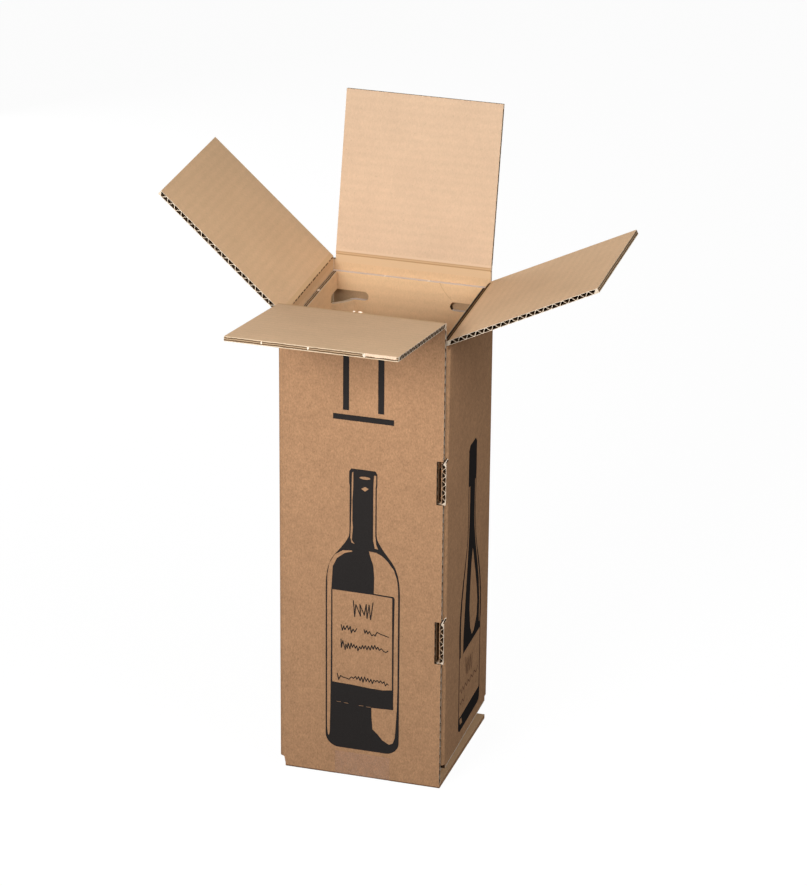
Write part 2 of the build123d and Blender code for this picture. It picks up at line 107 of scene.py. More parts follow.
def kraft_paper(name, tone, across=(0, 0, 1), grain=0.06, ripple=0.016, shade_heights=NOWHERE):
    """Kraft paper glued to flutes: the tone, lightly clouded over 35 mm, blotched over 5 mm, mottled by
    fibre clumps 1.3 mm wide and 2.3 mm tall as strongly as grain says, flecked by dark bark specks, and
    rippled as a sine of the distance across the flutes. Between two given heights it is darker: painted
    shade. Its bump is the ripple and the fibres."""
    material, tree, output = new_material(name)
    place = add_node(tree, "ShaderNodeTexCoord").outputs["Object"]
    clouds = add_node(tree, "ShaderNodeTexNoise", [("Vector", place)], Scale=CLOUDS_PER_METRE, Detail=3.0)
    blotches = add_node(
        tree, "ShaderNodeTexNoise", [("Vector", place)],
        Scale=BLOTCHES_PER_METRE, Detail=2.0, Roughness=0.6,
    )
    squeezed = add_node(tree, "ShaderNodeMapping", [("Vector", place)], Scale=FIBRE_SQUEEZE)
    fibres = add_node(
        tree, "ShaderNodeTexNoise", [("Vector", squeezed.outputs["Vector"])],
        Scale=FIBRES_PER_METRE, Detail=4.0, Roughness=0.7,
    )
    specks = add_node(
        tree, "ShaderNodeTexNoise", [("Vector", place)], Scale=SPECKS_PER_METRE, Detail=2.0, Roughness=0.5
    )
    along = add_node(
        tree, "ShaderNodeVectorMath", [("Vector", place), (1, across)], operation="DOT_PRODUCT"
    )
    turns = add_node(
        tree, "ShaderNodeMath", [(0, along.outputs["Value"]), (1, 2 * math.pi / FLUTE_PITCH)],
        operation="MULTIPLY",
    )
    wobble = add_node(
        tree, "ShaderNodeMath", [(0, clouds.outputs["Fac"]), (1, turns.outputs[0])], operation="ADD"
    )
    wave = add_node(tree, "ShaderNodeMath", [(0, wobble.outputs[0])], operation="SINE")
    parts = add_node(tree, "ShaderNodeSeparateXYZ", [("Vector", place)])
    shade_band = add_node(
        tree, "ShaderNodeMath",
        [(0, parts.outputs["Z"]), (1, (shade_heights[0] + shade_heights[1]) / 2), (2, abs(shade_heights[1] - shade_heights[0]) / 2)],
        operation="COMPARE",
    )
    shade = None
    for source, start, end, shade_at_start, shade_at_end in (
        (clouds.outputs["Fac"], NOISE_LOW, NOISE_HIGH, 1.0 - CLOUDING, 1.0 + CLOUDING),
        (fibres.outputs["Fac"], NOISE_LOW, NOISE_HIGH, 1.0 - grain, 1.0 + grain),
        (blotches.outputs["Fac"], NOISE_LOW, NOISE_HIGH, 1.0 - grain / 3, 1.0 + grain / 3),
        (wave.outputs[0], -1.0, 1.0, 1.0 - ripple, 1.0 + ripple),
        (specks.outputs["Fac"], SPECKS_FROM, SPECKS_TO, 1.0, 1.0 - SPECK_DEPTH * grain),
        (shade_band.outputs[0], 0.0, 1.0, 1.0, PAINTED_SHADE_FACTOR),
    ):
        shift = add_node(
            tree, "ShaderNodeMapRange", [("Value", source)],
            From_Min=start, From_Max=end, To_Min=shade_at_start, To_Max=shade_at_end,
        ).outputs["Result"]
        shade = shift if shade is None else add_node(
            tree, "ShaderNodeMath", [(0, shade), (1, shift)], operation="MULTIPLY"
        ).outputs[0]
    colour = add_node(
        tree, "ShaderNodeVectorMath", [("Scale", shade), (0, linear(tone)[:3])], operation="SCALE"
    )
    ridges = add_node(
        tree, "ShaderNodeMath", [(0, wave.outputs[0]), (1, RIDGE_SHARE)], operation="MULTIPLY"
    )
    relief = add_node(
        tree, "ShaderNodeMath", [(0, ridges.outputs[0]), (1, fibres.outputs["Fac"])], operation="ADD"
    )
    bump = add_node(
        tree, "ShaderNodeBump", [("Height", relief.outputs[0])], Strength=0.35, Distance=0.00012
    )
    paper = add_node(
        tree, "ShaderNodeBsdfPrincipled",
        [("Base Color", colour.outputs["Vector"]), ("Normal", bump.outputs["Normal"])],
        Roughness=0.82, IOR=1.45, Specular_IOR_Level=0.04,
    )
    tree.links.new(paper.outputs["BSDF"], output.inputs["Surface"])
    return material


CUT_FIBRES_PER_METRE = 1300.0
CUT_SHADES = {"From_Min": NOISE_LOW, "From_Max": NOISE_HIGH, "To_Min": 0.72, "To_Max": 1.22}


def cut_board(name, tone):
    """The cut edge of the board: pale torn fibres, with 0.8 mm mottling and a rough bump."""
    material, tree, output = new_material(name)
    place = add_node(tree, "ShaderNodeTexCoord").outputs["Object"]
    fibres = add_node(
        tree, "ShaderNodeTexNoise", [("Vector", place)],
        Scale=CUT_FIBRES_PER_METRE, Detail=3.0, Roughness=0.7,
    )
    shade = add_node(tree, "ShaderNodeMapRange", [("Value", fibres.outputs["Fac"])], **CUT_SHADES)
    colour = add_node(
        tree, "ShaderNodeVectorMath", [("Scale", shade.outputs["Result"]), (0, linear(tone)[:3])],
        operation="SCALE",
    )
    bump = add_node(
        tree, "ShaderNodeBump", [("Height", fibres.outputs["Fac"])], Strength=0.6, Distance=0.0003
    )
    paper = add_node(
        tree, "ShaderNodeBsdfPrincipled",
        [("Base Color", colour.outputs["Vector"]), ("Normal", bump.outputs["Normal"])],
        Roughness=0.9, IOR=1.45, Specular_IOR_Level=0.1,
    )
    tree.links.new(paper.outputs["BSDF"], output.inputs["Surface"])
    return material


def fill_ramp(ramp, stops):
    """Gives a colour ramp its stops, as pairs of position and tone."""
    while len(ramp.elements) < len(stops):
        ramp.elements.new(0.5)
    for element, (position, tone) in zip(ramp.elements, stops):
        element.position = position
        element.color = linear(tone)


# The groove tone is painted shade in the open flute channels.
EDGE_PAPER, EDGE_GROOVE_SHADE, EDGE_CREST, PRESSED_EDGE = "cdb79b", "5d4631", "b49a7c", "e0d0c4"
EDGE_STOPS = [
    (0.0, EDGE_PAPER), (0.13, EDGE_PAPER), (0.2, EDGE_GROOVE_SHADE), (0.4, EDGE_GROOVE_SHADE), (0.48, EDGE_CREST),
    (0.56, EDGE_CREST), (0.64, EDGE_GROOVE_SHADE), (0.8, EDGE_GROOVE_SHADE), (0.87, EDGE_PAPER), (1.0, EDGE_PAPER),
]
EDGE_NOISE_PER_METRE = 160.0
EDGE_TEAR = 0.0006
# The tint of the painted shade on the sleeve's right rim.
PAINTED_RIM_SHADE = (0.22, 0.20, 0.18)
PRESSED_SHARE = 0.8
FAR_OFF = 9.0


def level_edge(name, walls, shaded_from=FAR_OFF, pressed_from=FAR_OFF):
    """A board edge cut along its flutes. From one paper to the other it shows pale paper, a groove, the
    flute's crest, a groove and pale paper, and the grooves' dark tone is painted shade in the open flute
    channels. The depth into the board is the greatest of the distances along the walls' outward directions,
    each less its own offset. The bands are steps of that depth, shifted by up to 0.6 mm of noise. Beyond
    the given x the edge is darkened with painted shade over crushed, open flutes, and beyond the given y
    it is pressed shut and pale."""
    material, tree, output = new_material(name)
    place = add_node(tree, "ShaderNodeTexCoord").outputs["Object"]
    furthest = None
    for direction, offset in walls:
        along = add_node(
            tree, "ShaderNodeVectorMath", [("Vector", place), (1, direction)], operation="DOT_PRODUCT"
        )
        less = add_node(
            tree, "ShaderNodeMath", [(0, along.outputs["Value"]), (1, offset)], operation="SUBTRACT"
        ).outputs[0]
        furthest = less if furthest is None else add_node(
            tree, "ShaderNodeMath", [(0, furthest), (1, less)], operation="MAXIMUM"
        ).outputs[0]
    rough = add_node(
        tree, "ShaderNodeTexNoise", [("Vector", place)],
        Scale=EDGE_NOISE_PER_METRE, Detail=3.0, Roughness=0.7,
    )
    torn = add_node(
        tree, "ShaderNodeMath", [(0, rough.outputs["Fac"]), (1, 2 * EDGE_TEAR), (2, -EDGE_TEAR)],
        operation="MULTIPLY_ADD",
    )
    depth = add_node(tree, "ShaderNodeMath", [(0, furthest), (1, torn.outputs[0])], operation="ADD")
    share = add_node(tree, "ShaderNodeMath", [(0, depth.outputs[0]), (1, BOARD)], operation="DIVIDE")
    bands = add_node(tree, "ShaderNodeValToRGB", [("Fac", share.outputs[0])])
    fill_ramp(bands.color_ramp, EDGE_STOPS)
    parts = add_node(tree, "ShaderNodeSeparateXYZ", [("Vector", place)])
    rim_shaded = add_node(
        tree, "ShaderNodeMath", [(0, parts.outputs["X"]), (1, shaded_from)], operation="GREATER_THAN"
    )
    shaded_bands = add_node(
        tree, "ShaderNodeVectorMath", [(0, bands.outputs["Color"]), (1, PAINTED_RIM_SHADE)],
        operation="MULTIPLY",
    )
    tone = add_node(tree, "ShaderNodeMix", data_type="RGBA", inputs=[
        ("Factor", rim_shaded.outputs[0]), (MIX_FIRST, bands.outputs["Color"]),
        (MIX_SECOND, shaded_bands.outputs["Vector"]),
    ])
    pressed = add_node(
        tree, "ShaderNodeMath", [(0, parts.outputs["Y"]), (1, pressed_from)], operation="GREATER_THAN"
    )
    partly = add_node(
        tree, "ShaderNodeMath", [(0, pressed.outputs[0]), (1, PRESSED_SHARE)], operation="MULTIPLY"
    )
    tone = add_node(tree, "ShaderNodeMix", data_type="RGBA", inputs=[
        ("Factor", partly.outputs[0]), (MIX_FIRST, tone.outputs[MIX_RESULT]),
        (MIX_SECOND, linear(PRESSED_EDGE)),
    ])
    paper = add_node(
        tree, "ShaderNodeBsdfPrincipled", [("Base Color", tone.outputs[MIX_RESULT])],
        Roughness=0.9, IOR=1.45, Specular_IOR_Level=0.1,
    )
    tree.links.new(paper.outputs["BSDF"], output.inputs["Surface"])
    return material


def faces_of(node):
    """Centres, in metres, and normals of a CAD node's faces as two arrays."""
    faces = frame["nodes"][node].data.polygons
    centres = np.empty(len(faces) * 3, np.float32)
    normals = np.empty(len(faces) * 3, np.float32)
    faces.foreach_get("center", centres)
    faces.foreach_get("normal", normals)
    return centres.reshape(-1, 3), normals.reshape(-1, 3)


def dress(node, materials, choice):
    """Gives a CAD node its materials and says which face takes which, as an array of slot numbers."""
    mesh = frame["nodes"][node].data
    mesh.materials.clear()
    for material in materials:
        mesh.materials.append(material)
    mesh.polygons.foreach_set("material_index", choice.astype(np.int32))
    mesh.update()


def wall_offsets(wide, low_y, high_y):
    """The outward direction of each of four walls, and how far out along it the inner paper lies."""
    return [
        ((1, 0, 0), wide - BOARD), ((-1, 0, 0), wide - BOARD), ((0, 1, 0), high_y - BOARD),
        ((0, -1, 0), -low_y - BOARD),
    ]


OUTSIDE, INSIDE, CUT, FLUTES, LEVEL_CUT, SHADED_SLIT, SHADED_BOTTOM_FOLD, HIGHLIT_RIGHT_FOLD = range(8)
SKIN = 0.0003
NEAR_SKIN = 0.0005
TWO_LAYERS = 2.1 * BOARD
SQUARE = 0.9
EXACTLY_SQUARE = 0.9999
SLANT = 0.3
ROUNDED = 0.15
FLUTE_REACH = 0.013
TAB_REACH = 0.0125
FLOOR_TOP = 0.03
FRONT_PART = -0.06
SIDE_FOLD = 0.066
FOLD_END_LOW, FOLD_END_HIGH = 0.0135, 0.0225
raw_cut = cut_board("cut_corrugated_edge", "e4d2bc")
# The medium's paper in the open flute cells, toned dark with painted shade of the deep cells.
fluting_and_cell_shade = cut_board("fluting_paper_and_cell_shade", "6f563d")
sleeve_low, sleeve_high = (np.array(corner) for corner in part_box("inner_liner"))
raw_edge_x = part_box("flap_front")[1][0]
low, high = (np.array(corner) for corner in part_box("carton"))
wide = -low[0]
centre, normal = faces_of("carton")
x, y, z = centre.T
nx, ny, nz = normal.T
round_fold = np.abs(normal).max(axis=1) < EXACTLY_SQUARE
outside = (
    ((np.abs(nx) > SQUARE) & (np.abs(x) > wide - SKIN))
    | ((np.abs(ny) > SQUARE) & ((y > high[1] - SKIN) | (y < low[1] + SKIN)))
    | (nz < -SQUARE)
    | (round_fold & (np.abs(x) > wide - BOARD + SKIN))
    | (round_fold & ((y < low[1] + TWO_LAYERS) | (y > high[1] - BOARD + SKIN)))
)
inside = (
    ((np.abs(nx) > SQUARE) & (np.abs(np.abs(x) - (wide - BOARD)) < SKIN))
    | ((ny < -SQUARE) & (np.abs(y - (high[1] - BOARD)) < SKIN))
    | ((ny > SQUARE) & (y < FRONT_PART))
    | ((nz > SQUARE) & (z < FLOOR_TOP))
)
in_front_wall = (y > low[1] + SKIN) & (y < low[1] + BOARD - SKIN)
flute_cell = in_front_wall & (x < raw_edge_x - SKIN) & (x > raw_edge_x - FLUTE_REACH)
in_tab = (x > wide - BOARD + SKIN) & (x < wide - SKIN) & (y < low[1] + TAB_REACH)
tab_cell = in_tab & (y > low[1] + SKIN) & ((np.abs(nz) > SLANT) | (ny < -SQUARE))
slit_side = in_front_wall & (nx > SQUARE) & (x < raw_edge_x - SKIN)
fold_end = (x > SIDE_FOLD) & (y < FRONT_PART) & (z > FOLD_END_LOW) & (z < FOLD_END_HIGH)
flap_end = (np.abs(y - sleeve_low[1]) < NEAR_SKIN) & (ny < -SQUARE) & (z < sleeve_low[2] + NEAR_SKIN)
choice = np.full(len(centre), CUT)
choice[outside] = OUTSIDE
choice[inside] = INSIDE
choice[(nz > SQUARE) & (z > FLOOR_TOP)] = LEVEL_CUT
choice[(nx > SQUARE) & (x > raw_edge_x + SKIN) & (z < BOARD)] = OUTSIDE
choice[flute_cell | tab_cell] = FLUTES
choice[(ny < -SQUARE) & (x > raw_edge_x) & (y < low[1] + SKIN)] = CUT
# Slit sides and the cut ends in the gaps at the sleeve's foot and by the right wall's lower fold take a dark
# tone: painted shade.
choice[slit_side | flap_end | (fold_end & (choice == CUT))] = SHADED_SLIT
# The rounded foot of the front wall is darker: a painted contact shadow.
choice[round_fold & (z < BOARD / 2) & (y < low[1] + BOARD)] = SHADED_BOTTOM_FOLD
# The rounded fold at the front right corner is lighter: a painted highlight.
highlit_round = round_fold & (x > wide - BOARD + SKIN) & (y < 0) & (ny < -ROUNDED) & (nx > ROUNDED)
choice[highlit_round & (choice == OUTSIDE)] = HIGHLIT_RIGHT_FOLD
# Between the floor and the sleeve's top the carton's inside paper is darker: painted shade behind the
# sleeve.
dress("carton", [
    kraft_paper("brown_test_liner", BROWN_KRAFT, **BROWN_GRAIN),
    kraft_paper("pale_kraft_liner", "d8b58e", shade_heights=(FLOOR_TOP, sleeve_high[2] - BOARD)),
    raw_cut, fluting_and_cell_shade, level_edge("carton_level_edge", wall_offsets(wide, low[1], high[1])),
    cut_board("painted_shade_slit_side", "4a3422"), kraft_paper("painted_shade_bottom_fold", "8c684b", grain=0.2),
    kraft_paper("painted_highlight_right_fold", "cb9d76", **BROWN_GRAIN),
], choice)

# Top flaps
# Four flaps are cut from the carton's own sheet and turn on crushed creases. They stand open, with the pale
# inside paper up, the brown outside paper down and the flutes open at both cut ends.
TIP_FROM = 0.1375
FLAP_UPPER, FLAP_UNDER, FLAP_CUT, FLAP_FLUTES, FLAP_TIP = range(5)
# Each flap's fold, its outward direction in plan and the tone of its inside paper.
FLAPS = {
    "flap_front": ("front_flap_fold", (0, -1), "d6b491"),
    "flap_back": ("back_flap_fold", (0, 1), "d2b497"),
    "flap_left": ("left_flap_fold", (-1, 0), "d8b48e"),
    "flap_right": ("right_flap_fold", (1, 0), "d8b591"),
}
joints = {joint["name"]: joint for joint in frame["record"]["behaviour"]["joints"]}


def flap_axes(flap):
    """A flap's fold at rest: a point of its axis, its tilt above level, and the unit vectors along the flap
    and square to it. One end of the fold's range is level and the other is closed. The level one is nearer
    to rest, so the tilt is the smaller of the two."""
    fold, (out_x, out_y), _ = FLAPS[flap]
    tilt = math.radians(min(abs(end) for end in joints[fold]["range_deg"]))
    along = np.array([out_x * math.cos(tilt), out_y * math.cos(tilt), math.sin(tilt)])
    up = np.array([-out_x * math.sin(tilt), -out_y * math.sin(tilt), math.cos(tilt)])
    return np.array(joints[fold]["pos_m"]), tilt, along, up


for flap, (_, _, inner_tone) in FLAPS.items():
    pivot, tilt, along, up = flap_axes(flap)
    centre, normal = faces_of(flap)
    rise, reach = (centre - pivot) @ up, (centre - pivot) @ along
    choice = np.full(len(centre), FLAP_FLUTES)
    choice[(rise > BOARD / 2 - SKIN) & (normal @ up > SQUARE)] = FLAP_UPPER
    choice[(rise < SKIN - BOARD / 2) & (normal @ up < -SQUARE)] = FLAP_UNDER
    choice[(reach < 0) & (rise > 0)] = FLAP_UPPER
    choice[(reach < 0) & (rise <= 0)] = FLAP_UNDER
    choice[np.abs(normal @ np.cross(along, up)) > SQUARE] = FLAP_CUT
    choice[(normal @ along > SQUARE) & (reach > TIP_FROM)] = FLAP_TIP
    dress(flap, [
        kraft_paper(f"pale_kraft_{flap}", inner_tone, tuple(along)),
        kraft_paper(f"brown_kraft_{flap}", BROWN_KRAFT, tuple(along), **BROWN_GRAIN),
        raw_cut, fluting_and_cell_shade, level_edge(f"tip_edge_{flap}", [(tuple(up), pivot @ up - BOARD / 2)]),
    ], choice)

# Creases
# The board's two papers run on through each crushed fold. The front and left folds are perforated, so they
# show as dashed lines. Thin skins of paper span the folds, inside and outside, and bend from the wall to
# the flap at rest.
RAMP_MM = 20.0
DASH_PITCH = 0.007
DASH_NOISE_PER_METRE = 90.0
DASH_WANDER = 2.5


def shaded_crease_paper(name, stops, dash=0.0):
    """Kraft paper with crease lines: a ramp of tones over the distance across the skin, in mm, from its own
    UV. The darker lines are painted shade in the folds' grooves, in the gap at the right fold and in the
    front and left folds' slits, and the pale line at the back fold's edge is a painted highlight. With dash
    above 0 the lines are broken along the fold: they show where the fraction of the distance over a 7 mm
    pitch, shifted by noise, is below dash, and elsewhere the first tone does."""
    material, tree, output = new_material(name)
    place = add_node(tree, "ShaderNodeUVMap", uv_map="crease")
    parts = add_node(tree, "ShaderNodeSeparateXYZ", [("Vector", place.outputs["UV"])])
    share = add_node(tree, "ShaderNodeMath", [(0, parts.outputs["X"]), (1, RAMP_MM)], operation="DIVIDE")
    lines = add_node(tree, "ShaderNodeValToRGB", [("Fac", share.outputs[0])])
    fill_ramp(lines.color_ramp, [(distance / RAMP_MM, tone) for distance, tone in stops])
    colour = lines.outputs["Color"]
    if dash:
        spot = add_node(tree, "ShaderNodeTexCoord").outputs["Object"]
        rough = add_node(
            tree, "ShaderNodeTexNoise", [("Vector", spot)],
            Scale=DASH_NOISE_PER_METRE, Detail=3.0, Roughness=0.7,
        )
        shift = add_node(
            tree, "ShaderNodeMath", [(0, rough.outputs["Fac"]), (1, DASH_WANDER)], operation="MULTIPLY"
        )
        turns = add_node(
            tree, "ShaderNodeMath", [(0, parts.outputs["Y"]), (1, 1 / DASH_PITCH), (2, shift.outputs[0])],
            operation="MULTIPLY_ADD",
        )
        step = add_node(tree, "ShaderNodeMath", [(0, turns.outputs[0])], operation="FRACT")
        cut = add_node(tree, "ShaderNodeMath", [(0, step.outputs[0]), (1, dash)], operation="LESS_THAN")
        colour = add_node(tree, "ShaderNodeMix", data_type="RGBA", inputs=[
            ("Factor", cut.outputs[0]), (MIX_FIRST, linear(stops[0][1])), (MIX_SECOND, colour),
        ]).outputs[MIX_RESULT]
    paper = add_node(
        tree, "ShaderNodeBsdfPrincipled", [("Base Color", colour)],
        Roughness=0.85, IOR=1.45, Specular_IOR_Level=0.04,
    )
    tree.links.new(paper.outputs["BSDF"], output.inputs["Surface"])
    return material


def crease_skin(name, flap, outline, far_gap, material):
    """A strip of paper along a flap's fold. The outline is a row of (outward, up) points about the fold's
    axis. It is carried along the fold over the flap's width, less a gap at both ends, and bends from the box
    at start to the flap at end."""
    pivot = flap_axes(flap)[0]
    out, rising = np.array([*FLAPS[flap][1], 0.0]), np.array([0, 0, 1])
    flat = np.abs(np.cross(out, rising))
    near, far = (np.array(corner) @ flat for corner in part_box(flap))
    stations = np.array([near + NEAR_GAP, far - far_gap])
    middle = pivot * (1 - flat)
    outline = np.array(outline)
    profile = middle + outline[:, :1] * out + outline[:, 1:] * rising
    points = profile[:, None, :] + stations[None, :, None] * flat
    first = np.arange(len(outline) - 1) * 2
    faces = np.column_stack([first, first + 1, first + 3, first + 2])
    mesh = bpy.data.meshes.new(name)
    mesh.from_pydata(points.reshape(-1, 3).tolist(), [], faces.tolist())
    lengths = np.concatenate([[0], np.cumsum(np.linalg.norm(np.diff(outline, axis=0), axis=1))])
    grid = np.stack(np.broadcast_arrays(lengths[:, None] * 1000, stations[None, :]), axis=-1)
    corner = np.empty(len(mesh.loops), np.int32)
    mesh.loops.foreach_get("vertex_index", corner)
    mesh.uv_layers.new(name="crease").data.foreach_set(
        "uv", grid.reshape(-1, 2)[corner].astype(np.float32).ravel()
    )
    mesh.materials.append(material)
    mesh.shade_smooth()
    piece = bpy.data.objects.new(name, mesh)
    bpy.context.scene.collection.objects.link(piece)
    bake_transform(piece)


SKIN_LIFT = 0.00006
HUG = BOARD / 2 + SKIN_LIFT
FOLD_GAP = 0.0003
WALL_END = -(BOARD / 2 + FOLD_GAP)
ARC_POINTS, BEND_POINTS = 9, 7
NEAR_GAP = 0.0002
OUTER_WALL_REACH = 0.003
# The outer crease's dark line is painted shade in the fold.
OUTER_STOPS = [(0, BROWN_KRAFT), (2.6, BROWN_KRAFT), (3.2, "8a6446"), (3.8, BROWN_KRAFT)]
# The stops are in mm, as the crease paper takes them, and their dark lines are painted shade. The reaches,
# the bulge and the gap are in metres.
CREASES = {
    "flap_front": {
        "dash": 0.68, "wall_reach": 0.004, "flap_reach": 0.003, "bulge": 0.0, "far_gap": NEAR_GAP,
        "stops": [(0, "cda982"), (5.4, "cda982"), (6.3, "ab8660"), (7.2, "cda982")],
    },
    "flap_back": {
        "dash": 0.0, "wall_reach": 0.006, "flap_reach": 0.003, "bulge": 0.0, "far_gap": NEAR_GAP,
        "stops": [
            (0, "d9b892"), (6.4, "d9b892"), (7.2, "b08a60"), (8.2, "d2b08a"), (9.2, "b8926a"),
            (10.0, "d8ba9c"),
        ],
    },
    "flap_left": {
        "dash": 0.66, "wall_reach": 0.004, "flap_reach": 0.003, "bulge": 0.0, "far_gap": NEAR_GAP,
        "stops": [(0, "d2ae86"), (5.7, "d2ae86"), (6.0, "4a3019"), (6.9, "4a3019"), (7.3, "d2ae86")],
    },
    "flap_right": {
        "dash": 0.0, "wall_reach": 0.0014, "flap_reach": 0.0042, "bulge": 0.0016, "far_gap": 0.004,
        "stops": [
            (0, "24160b"), (6.0, "24160b"), (6.5, "7d5c3e"), (7.0, "7d5c3e"), (7.4, "2c1c0e"),
            (8.4, "2c1c0e"), (8.9, "d0ab84"),
        ],
    },
}
for flap, crease in CREASES.items():
    tilt = flap_axes(flap)[1]
    turn = np.linspace(math.pi, math.pi / 2 + tilt, ARC_POINTS)
    arc = HUG * np.column_stack([np.cos(turn), np.sin(turn)])
    slab_shares = np.array([[crease["flap_reach"] / 3], [crease["flap_reach"]]])
    slab = arc[-1] + slab_shares * (math.cos(tilt), math.sin(tilt))
    inner_x = -HUG - crease["bulge"]
    wall = [
        (inner_x, WALL_END - crease["wall_reach"]), (inner_x, WALL_END),
        (-HUG - crease["bulge"] / 2, WALL_END / 2),
    ]
    crease_skin(
        f"inner_crease_{flap}", flap, np.vstack([wall, arc, slab]),
        crease["far_gap"], shaded_crease_paper(f"inner_crease_paper_{flap}", crease["stops"], crease["dash"]),
    )
    under = HUG * np.array([math.cos(tilt - math.pi / 2), math.sin(tilt - math.pi / 2)])
    top = np.array([HUG, WALL_END])
    bend = top + np.linspace(0, 1, BEND_POINTS)[:, None] * (under - top)
    outer = np.vstack([[top - (0, OUTER_WALL_REACH)], bend])
    crease_skin(
        f"outer_crease_{flap}", flap, outer, crease["far_gap"],
        shaded_crease_paper(f"outer_crease_paper_{flap}", OUTER_STOPS),
    )

# Torn nicks
# Where the die left small bridges to the sheet, the board tore white: tufts of fibre on the front flap's tip
# and crease and on the sleeve's edge, a longer tear at the tip, and small ears above both lock tabs with
# painted shadow in the hollows under them. A ragged pale strip along the right wall's lower fold is a
# painted highlight.
torn_paper = cut_board("torn_paper_fibre", "eedecb")
RIM_POINTS = 12
INK_LIFT = 0.00002


def add_piece(name, points, faces, material, body="box"):
    """A mesh piece of one material that rides on a body."""
    mesh = bpy.data.meshes.new(name)
    mesh.from_pydata(np.asarray(points).reshape(-1, 3).tolist(), [], np.asarray(faces).tolist())
    mesh.materials.append(material)
    piece = bpy.data.objects.new(name, mesh)
    bpy.context.scene.collection.objects.link(piece)
    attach(piece, body)


def tufts(name, centres, across, along, half_sizes, body, seed):
    """Flat ragged stars of torn fibre, one at each centre: 12 rim points whose radius is random between
    0.55 and 1 of the half size, in the plane of the two directions."""
    turn = np.linspace(0, 2 * math.pi, RIM_POINTS, endpoint=False)
    radius = np.random.default_rng(seed).uniform(0.55, 1.0, (len(centres), RIM_POINTS))
    across, along, half_sizes = np.array(across), np.array(along), np.array(half_sizes)
    rim = (
        np.array(centres)[:, None, :]
        + (radius * np.cos(turn))[..., None] * across * half_sizes[:, None, :1]
        + (radius * np.sin(turn))[..., None] * along * half_sizes[:, None, 1:]
    )
    faces = np.arange(len(centres) * RIM_POINTS).reshape(-1, RIM_POINTS)
    add_piece(name, rim, faces, torn_paper, body)


def ragged_ribbon(name, rim, drops, material, body):
    """A ribbon between a row of rim points and the same points moved by drops, one vector for each."""
    count = len(rim)
    first = np.arange(count - 1)
    faces = np.column_stack([first, first + 1, first + count + 1, first + count])
    add_piece(name, np.vstack([rim, rim + drops]), faces, material, body)


def strokes(name, lines, origin, across, width, material):
    """Lines on a wall, given in mm, as flat ribbons: each piece of each line is a rectangle of the stroke's
    width, longer by a quarter of it at both ends. Every second one lies 0.01 mm higher, so that no two share
    a plane."""
    across, rising = np.array(across), np.array([0, 0, 1])
    outward = np.cross(across, rising)
    pieces = [np.stack([line[:-1], line[1:]], axis=1) for line in map(np.array, lines)]
    pairs = np.vstack(pieces) / 1000
    run = pairs[:, 1] - pairs[:, 0]
    run /= np.linalg.norm(run, axis=1, keepdims=True)
    side = np.column_stack([-run[:, 1], run[:, 0]]) * width / 2
    reach = run * width / 4
    flat = np.stack([
        pairs[:, 0] - reach - side, pairs[:, 1] + reach - side, pairs[:, 1] + reach + side,
        pairs[:, 0] - reach + side,
    ], axis=1)
    lift = INK_LIFT + INK_LIFT / 2 * (np.arange(len(pairs)) % 2)
    points = (
        np.array(origin) + flat[..., :1] * across + flat[..., 1:] * rising + lift[:, None, None] * outward
    )
    add_piece(name, points, np.arange(len(pairs) * 4).reshape(-1, 4), material)


TIP_REACH = 0.14004
NICK_HEIGHT = 0.0016
NICK_RISE = 0.0002
TEAR_START, TEAR_END, TEAR_TOP, TEAR_POINTS = 0.043, 0.0685, 0.00195, 40
TEAR_DROP, TEAR_ROUGHNESS, TEAR_WAVE, WAVE_TURN = 0.0021, 0.0004, 0.0002, 500
CREASE_NICK_RISE = 0.0026
HIGHLIGHT_FOOT, HIGHLIGHT_END, HIGHLIGHT_POINTS = 0.0161, 0.0636, 160
HIGHLIGHT_LEAST, HIGHLIGHT_ROUGHNESS = 0.0007, 0.0006
EAR_SHADOW_WIDTH, EAR_WIDTH = 0.0009, 0.00085
PAPER_LIFT = 0.00003
RIM_LIFT = 0.00008
SLEEVE_NICKS = (0.0014, 0.0019), (0.0016, 0.0019), (0.0019, 0.0024)
pivot, tilt, along, up = flap_axes("flap_front")
tip_centre = pivot + along * TIP_REACH
tufts(
    "tip_nicks", tip_centre + np.array([(-0.0417, 0, 0), (-0.0034, 0, 0), (0.0425, 0, 0)]) + NICK_RISE * up,
    (1, 0, 0), up, [(0.0008, NICK_HEIGHT), (0.0009, NICK_HEIGHT), (0.0020, NICK_HEIGHT)], "front_flap", 3,
)
stations = np.linspace(TEAR_START, TEAR_END, TEAR_POINTS)
ragged = TEAR_DROP + TEAR_ROUGHNESS * np.random.default_rng(5).random(TEAR_POINTS)
ragged = ragged + TEAR_WAVE * np.sin(stations * WAVE_TURN)
ragged_ribbon(
    "tip_tear", tip_centre + stations[:, None] * np.array([1, 0, 0]) + TEAR_TOP * up,
    -ragged[:, None] * up, cut_board("bared_inner_paper", "dfc3a8"), "front_flap",
)
tufts(
    "crease_nicks", pivot + np.array([(-0.0078, 0, 0), (-0.0022, 0, 0)]) + CREASE_NICK_RISE * up,
    (1, 0, 0), up, [(0.0011, 0.0008), (0.0025, 0.0008)], "front_flap", 7,
)
